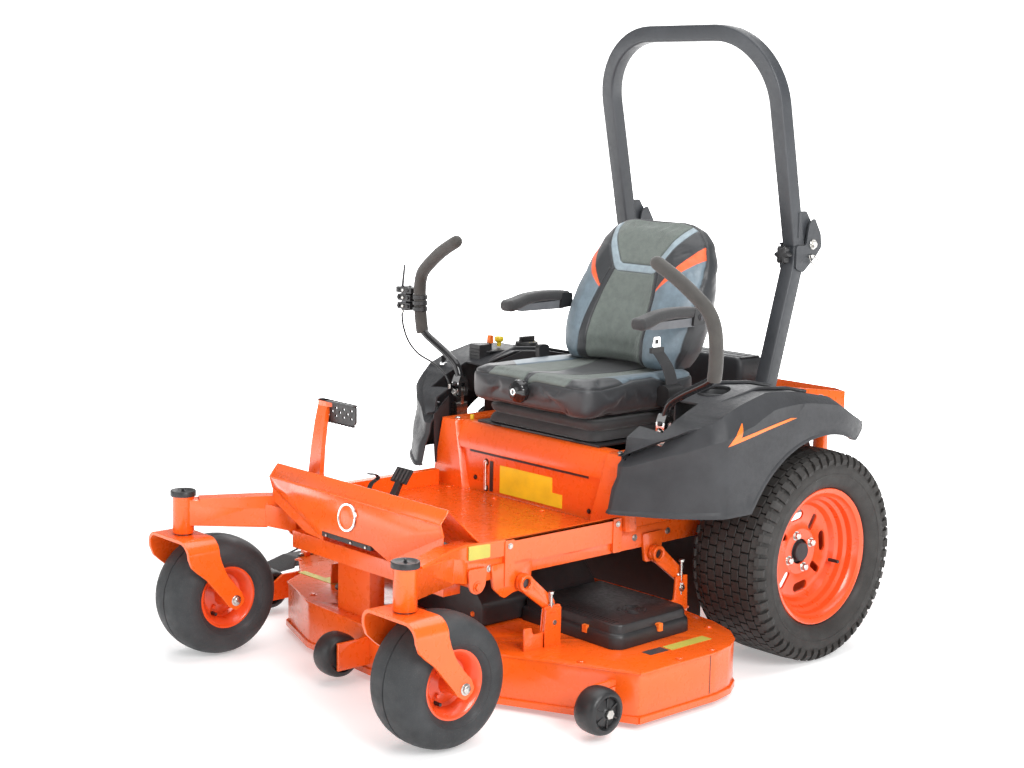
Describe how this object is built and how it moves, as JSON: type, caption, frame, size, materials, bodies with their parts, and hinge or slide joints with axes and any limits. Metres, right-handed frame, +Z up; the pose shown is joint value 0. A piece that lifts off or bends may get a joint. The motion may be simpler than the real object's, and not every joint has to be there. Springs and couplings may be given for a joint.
{
  "type": "zero turn mower",
  "caption": "Ride-on zero turn mower: open frame with caster front wheels, belly-mounted cutting deck, sprung seat, two steering levers, rear engine and a folding roll bar.",
  "frame": {"origin": "middle of the footprint at ground level", "axes": "+Z up, -Y the way the machine drives, +X the operator's left"},
  "size_m": [1.682, 1.934, 1.752],
  "materials": {
    "orange_paint": "gloss powder coat",
    "rim_paint": "gloss paint",
    "tyre_rubber": "matt, with turf blocks",
    "black_paint": "fine-textured charcoal powder coat",
    "steel": "zinc plated",
    "cast_aluminium": "cast, painted dark grey",
    "fender_plastic": "moulded, fine grain",
    "black_plastic": "moulded, satin",
    "gloss_black": "gloss",
    "orange_plastic": "gloss",
    "yellow_plastic": "gloss",
    "soft_rubber": "soft, matt",
    "seat_fabric": "grey woven panels with vinyl sides"
  },
  "bodies": {
    "root": {"frame_rail_left": "orange_paint", "frame_rail_right": "orange_paint", "front_crossmember": "orange_paint", "foot_platform": "orange_paint", "seat_box": "orange_paint", "fuel_tank": "black_plastic", "engine_deck": "orange_paint", "engine": "cast_aluminium", "transaxle_left": "cast_aluminium", "transaxle_right": "cast_aluminium", "fender_left": "fender_plastic", "fender_right": "fender_plastic", "rops_base_left": "black_paint", "rops_base_right": "black_paint"},
    "deck": {"deck_shell": "orange_paint", "belt_cover_left": "black_plastic", "belt_cover_right": "black_plastic"},
    "seat_platform": {"seat_platform": "black_paint", "seat_boot": "soft_rubber"},
    "seat_rail": {"seat_rail": "steel"},
    "seat": {"seat_cushion": "seat_fabric"},
    "seat_knob": {"seat_knob": "gloss_black"},
    "backrest": {"backrest": "seat_fabric"},
    "rops_hoop": {"rops_hoop": "black_paint"},
    "discharge_chute": {"discharge_chute": "black_plastic"},
    "lift_pedal": {"lift_pedal": "orange_paint"},
    "brake_pedal": {"brake_pedal": "black_plastic"},
    "throttle_lever": {"throttle_lever": "orange_plastic"},
    "pto_knob": {"pto_knob": "yellow_plastic"},
    "ignition_key": {"ignition_key": "steel"},
    "height_dial": {"height_dial": "black_plastic"},
    "caster_fork_left": {"caster_fork_left": "orange_paint"},
    "caster_wheel_left": {"caster_rim_left": "rim_paint", "caster_tyre_left": "tyre_rubber"},
    "drive_wheel_left": {"drive_rim_left": "rim_paint", "drive_tyre_left": "tyre_rubber"},
    "lever_base_left": {"lever_base_left": "steel"},
    "lever_left": {"lever_left": "soft_rubber"},
    "rops_knob_left": {"rops_knob_left": "black_plastic"},
    "armrest_left": {"armrest_left": "soft_rubber"},
    "lift_arm_front_left": {"lift_arm_front_left": "orange_paint"},
    "lift_arm_rear_left": {"lift_arm_rear_left": "orange_paint"},
    "caster_fork_right": {"caster_fork_right": "orange_paint"},
    "caster_wheel_right": {"caster_rim_right": "rim_paint", "caster_tyre_right": "tyre_rubber"},
    "drive_wheel_right": {"drive_rim_right": "rim_paint", "drive_tyre_right": "tyre_rubber"},
    "lever_base_right": {"lever_base_right": "steel"},
    "lever_right": {"lever_right": "soft_rubber", "control_cable": "black_plastic"},
    "rops_knob_right": {"rops_knob_right": "black_plastic"},
    "armrest_right": {"armrest_right": "soft_rubber"},
    "lift_arm_front_right": {"lift_arm_front_right": "orange_paint"},
    "lift_arm_rear_right": {"lift_arm_rear_right": "orange_paint"},
    "blade_left": {"blade_left": "steel"},
    "roller_left": {"roller_left": "black_plastic"},
    "blade_centre": {"blade_centre": "steel"},
    "roller_centre": {"roller_centre": "black_plastic"},
    "blade_right": {"blade_right": "steel"},
    "roller_right": {"roller_right": "black_plastic"}
  },
  "joints": [
    {"name": "caster_swivel_left", "type": "hinge", "parent": "root", "child": "caster_fork_left", "pos_m": [0.587, -0.902, 0.38], "axis": [0, 0, 1], "continuous": true},
    {"name": "caster_roll_left", "type": "hinge", "parent": "caster_fork_left", "child": "caster_wheel_left", "pos_m": [0.587, -0.802, 0.165], "axis": [1, 0, 0], "continuous": true},
    {"name": "drive_roll_left", "type": "hinge", "parent": "root", "child": "drive_wheel_left", "pos_m": [0.64, 0.446, 0.2955], "axis": [1, 0, 0], "continuous": true},
    {"name": "lever_drive_left", "type": "hinge", "parent": "root", "child": "lever_base_left", "pos_m": [0.528, 0.026, 0.572], "axis": [1, 0, 0], "range_deg": [-14, 20]},
    {"name": "lever_swing_left", "type": "hinge", "parent": "lever_base_left", "child": "lever_left", "pos_m": [0.528, 0.026, 0.66], "axis": [0, 1, 0], "range_deg": [-34, 0]},
    {"name": "rops_knob_turn_left", "type": "hinge", "parent": "root", "child": "rops_knob_left", "pos_m": [0.441, 0.616, 1.102], "axis": [0, 1, 0], "continuous": true},
    {"name": "caster_swivel_right", "type": "hinge", "parent": "root", "child": "caster_fork_right", "pos_m": [-0.371, -0.902, 0.38], "axis": [0, 0, 1], "continuous": true},
    {"name": "caster_roll_right", "type": "hinge", "parent": "caster_fork_right", "child": "caster_wheel_right", "pos_m": [-0.371, -0.802, 0.165], "axis": [1, 0, 0], "continuous": true},
    {"name": "drive_roll_right", "type": "hinge", "parent": "root", "child": "drive_wheel_right", "pos_m": [-0.424, 0.446, 0.2955], "axis": [1, 0, 0], "continuous": true},
    {"name": "lever_drive_right", "type": "hinge", "parent": "root", "child": "lever_base_right", "pos_m": [-0.312, 0.026, 0.572], "axis": [1, 0, 0], "range_deg": [-14, 20]},
    {"name": "lever_swing_right", "type": "hinge", "parent": "lever_base_right", "child": "lever_right", "pos_m": [-0.312, 0.026, 0.66], "axis": [0, -1, 0], "range_deg": [-34, 0]},
    {"name": "rops_knob_turn_right", "type": "hinge", "parent": "root", "child": "rops_knob_right", "pos_m": [-0.225, 0.616, 1.102], "axis": [0, 1, 0], "continuous": true},
    {"name": "rops_fold", "type": "hinge", "parent": "root", "child": "rops_hoop", "pos_m": [0.108, 0.691, 1.13], "axis": [-1, 0, 0], "range_deg": [0, 110]},
    {"name": "seat_tilt", "type": "hinge", "parent": "root", "child": "seat_platform", "pos_m": [0.108, -0.049, 0.602], "axis": [1, 0, 0], "range_deg": [0, 50]},
    {"name": "seat_suspension", "type": "slide", "parent": "seat_platform", "child": "seat_rail", "axis": [0, 0, 1], "range_m": [-0.04, 0], "stiffness_N_per_m": 8000, "springref_m": 0.05, "deforming": ["seat_boot"]},
    {"name": "seat_slide", "type": "slide", "parent": "seat_rail", "child": "seat", "axis": [0, 1, 0], "range_m": [-0.05, 0.05]},
    {"name": "seat_knob_turn", "type": "hinge", "parent": "seat", "child": "seat_knob", "pos_m": [0.108, -0.1045, 0.728], "axis": [0, 1, 0], "continuous": true},
    {"name": "backrest_recline", "type": "hinge", "parent": "seat", "child": "backrest", "pos_m": [0.108, 0.316, 0.76], "axis": [1, 0, 0], "range_deg": [-12, 0]},
    {"name": "armrest_fold_left", "type": "hinge", "parent": "backrest", "child": "armrest_left", "pos_m": [0.349, 0.308, 0.935], "axis": [1, 0, 0], "range_deg": [-92, 0]},
    {"name": "armrest_fold_right", "type": "hinge", "parent": "backrest", "child": "armrest_right", "pos_m": [-0.133, 0.308, 0.935], "axis": [1, 0, 0], "range_deg": [-92, 0]},
    {"name": "deck_lift", "type": "slide", "parent": "root", "child": "deck", "axis": [0, 0, 1], "range_m": [0, 0.09]},
    {"name": "blade_spin_centre", "type": "hinge", "parent": "deck", "child": "blade_centre", "pos_m": [0.108, -0.316, 0.1], "axis": [0, 0, 1], "continuous": true},
    {"name": "blade_spin_left", "type": "hinge", "parent": "deck", "child": "blade_left", "pos_m": [0.57, -0.154, 0.1], "axis": [0, 0, 1], "continuous": true},
    {"name": "blade_spin_right", "type": "hinge", "parent": "deck", "child": "blade_right", "pos_m": [-0.354, -0.154, 0.1], "axis": [0, 0, 1], "continuous": true},
    {"name": "roller_roll_left", "type": "hinge", "parent": "deck", "child": "roller_left", "pos_m": [0.807, -0.479, 0.075], "axis": [1, 0, 0], "continuous": true},
    {"name": "roller_roll_centre", "type": "hinge", "parent": "deck", "child": "roller_centre", "pos_m": [0.056, -0.704, 0.075], "axis": [1, 0, 0], "continuous": true},
    {"name": "roller_roll_right", "type": "hinge", "parent": "deck", "child": "roller_right", "pos_m": [-0.591, -0.479, 0.075], "axis": [1, 0, 0], "continuous": true},
    {"name": "chute_lift", "type": "hinge", "parent": "deck", "child": "discharge_chute", "pos_m": [-0.615, -0.199, 0.146], "axis": [0, 1, 0], "range_deg": [0, 90], "stiffness_Nm_per_rad": 1, "springref_deg": -17.19},
    {"name": "lift_arm_turn_front_left", "type": "hinge", "parent": "root", "child": "lift_arm_front_left", "pos_m": [0.504, -0.454, 0.323], "axis": [1, 0, 0], "range_deg": [0, 43]},
    {"name": "lift_arm_turn_rear_left", "type": "hinge", "parent": "root", "child": "lift_arm_rear_left", "pos_m": [0.504, 0.031, 0.323], "axis": [1, 0, 0], "range_deg": [0, 43]},
    {"name": "lift_arm_turn_front_right", "type": "hinge", "parent": "root", "child": "lift_arm_front_right", "pos_m": [-0.288, -0.454, 0.323], "axis": [1, 0, 0], "range_deg": [0, 43]},
    {"name": "lift_arm_turn_rear_right", "type": "hinge", "parent": "root", "child": "lift_arm_rear_right", "pos_m": [-0.288, 0.031, 0.323], "axis": [1, 0, 0], "range_deg": [0, 43]},
    {"name": "lift_pedal_press", "type": "hinge", "parent": "root", "child": "lift_pedal", "pos_m": [-0.175, -0.582, 0.374], "axis": [1, 0, 0], "range_deg": [0, 20.5]},
    {"name": "brake_press", "type": "hinge", "parent": "root", "child": "brake_pedal", "pos_m": [-0.042, -0.484, 0.415], "axis": [1, 0, 0], "range_deg": [0, 20], "stiffness_Nm_per_rad": 8, "springref_deg": -11.46},
    {"name": "throttle_turn", "type": "hinge", "parent": "root", "child": "throttle_lever", "pos_m": [-0.356, 0.184, 0.772], "axis": [1, 0, 0], "range_deg": [-23, 23]},
    {"name": "pto_pull", "type": "slide", "parent": "root", "child": "pto_knob", "axis": [0, 0, 1], "range_m": [0, 0.012]},
    {"name": "key_turn", "type": "hinge", "parent": "root", "child": "ignition_key", "pos_m": [-0.432, 0.061, 0.722], "axis": [0, 0, 1], "range_deg": [0, 90]},
    {"name": "height_dial_turn", "type": "hinge", "parent": "root", "child": "height_dial", "pos_m": [-0.372, 0.351, 0.768], "axis": [0, 0, 1], "range_deg": [-135, 135]}
  ],
  "couplings": [
    {"joint": "blade_spin_left", "follows": "blade_spin_centre", "ratio": 1},
    {"joint": "blade_spin_right", "follows": "blade_spin_centre", "ratio": 1},
    {"joint": "lift_arm_turn_front_left", "follows": "deck_lift", "rad_per_m": 8.28},
    {"joint": "lift_arm_turn_rear_left", "follows": "deck_lift", "rad_per_m": 8.28},
    {"joint": "lift_arm_turn_front_right", "follows": "deck_lift", "rad_per_m": 8.28},
    {"joint": "lift_arm_turn_rear_right", "follows": "deck_lift", "rad_per_m": 8.28},
    {"joint": "lift_pedal_press", "follows": "deck_lift", "rad_per_m": 3.9}
  ]
}
